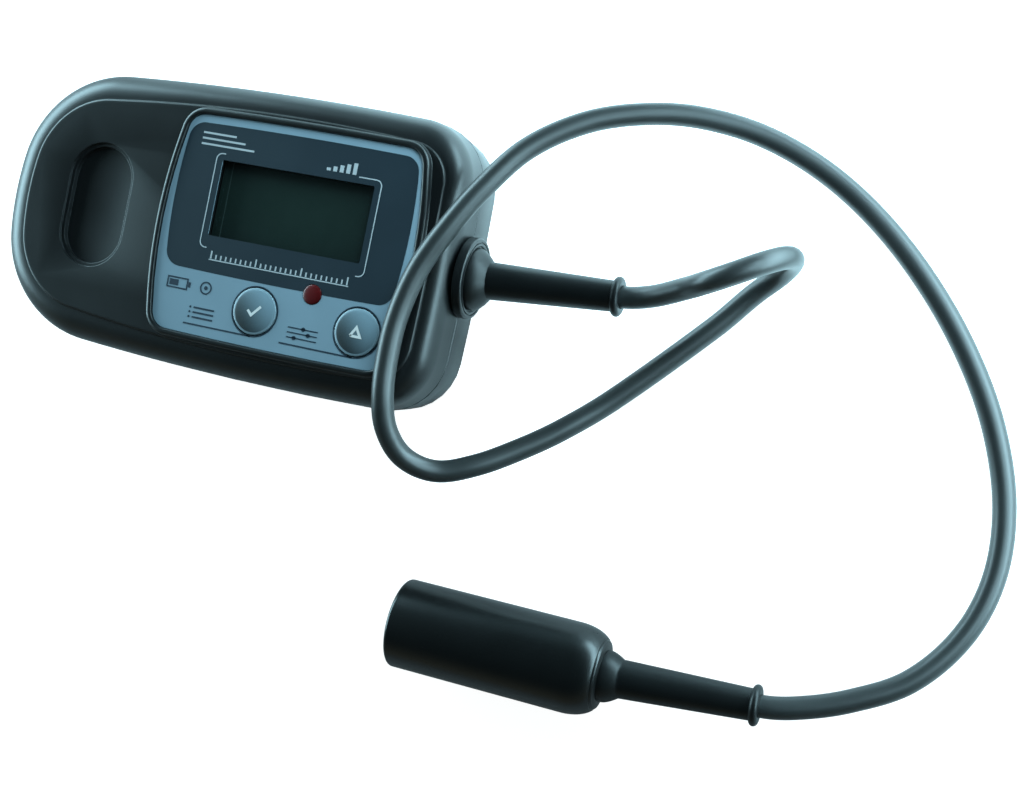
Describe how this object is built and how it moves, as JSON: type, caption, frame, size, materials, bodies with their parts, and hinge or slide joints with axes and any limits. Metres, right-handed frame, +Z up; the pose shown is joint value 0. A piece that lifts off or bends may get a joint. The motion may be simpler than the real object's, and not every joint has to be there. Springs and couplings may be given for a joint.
{
  "type": "coating thickness gauge",
  "caption": "Handheld coating thickness gauge: rounded two-part case with a framed label, display window, push buttons and lamp, and a sensing probe on a flexible cable.",
  "frame": {"origin": "centre of the case's flat underside", "axes": "+X along the case towards the cable end, +Y across the case towards the display side, +Z up out of the label"},
  "size_m": [0.2283, 0.1276, 0.0302],
  "materials": {
    "case_black": "satin, fine moulded texture",
    "cover_black": "satin, fine moulded texture",
    "label_print": "printed foil, satin",
    "window_clear": "clear",
    "display_glass": "dark green-grey segment display",
    "button_grey": "satin domed cap",
    "lamp_red": "dark red lens, unlit",
    "screw_steel": "plain",
    "holder_grey": "plain",
    "strip_pink": "layered contact rubber",
    "board_green": "solder resist",
    "chip_black": "plain",
    "switch_grey": "plain",
    "battery_jacket": "plain wrapped jacket",
    "header_cream": "plain",
    "gland_black": "satin",
    "boot_rubber": "satin",
    "cable_black": "satin jacket",
    "probe_black": "satin",
    "tip_grey": "plain",
    "core_ferrite": "ground",
    "coil_copper": "enamelled wire",
    "bobbin_cream": "plain"
  },
  "bodies": {
    "case": {"top_shell": "case_black", "bottom_shell": "case_black", "case_screws": "screw_steel", "front_label": "label_print", "display_window": "window_clear", "lcd_panel": "display_glass", "lcd_holder": "holder_grey", "lcd_contact_strip": "strip_pink", "main_board": "board_green", "microcontroller": "chip_black", "ok_switch": "switch_grey", "function_switch": "switch_grey", "alarm_lamp": "lamp_red", "battery": "battery_jacket", "battery_snap": "chip_black", "lead_header": "header_cream", "case_lead": "cable_black", "gland_collar": "gland_black", "gland_nut": "gland_black", "case_boot": "boot_rubber", "cable": "cable_black", "probe_boot": "boot_rubber", "probe_housing": "probe_black", "probe_tip": "tip_grey", "probe_core": "core_ferrite", "probe_bobbin": "bobbin_cream", "probe_coil": "coil_copper", "probe_lead": "cable_black"},
    "ok_key": {"ok_button": "button_grey"},
    "function_key": {"function_button": "button_grey"},
    "cover": {"battery_cover": "cover_black"}
  },
  "joints": [
    {"name": "ok_press", "type": "slide", "parent": "case", "child": "ok_key", "axis": [0, 0, -1], "range_m": [0, 0.0005], "stiffness_N_per_m": 2000},
    {"name": "function_press", "type": "slide", "parent": "case", "child": "function_key", "axis": [0, 0, -1], "range_m": [0, 0.0005], "stiffness_N_per_m": 2000},
    {"name": "cover_slide", "type": "slide", "parent": "case", "child": "cover", "axis": [-1, 0, 0], "range_m": [0, 0.058]}
  ]
}
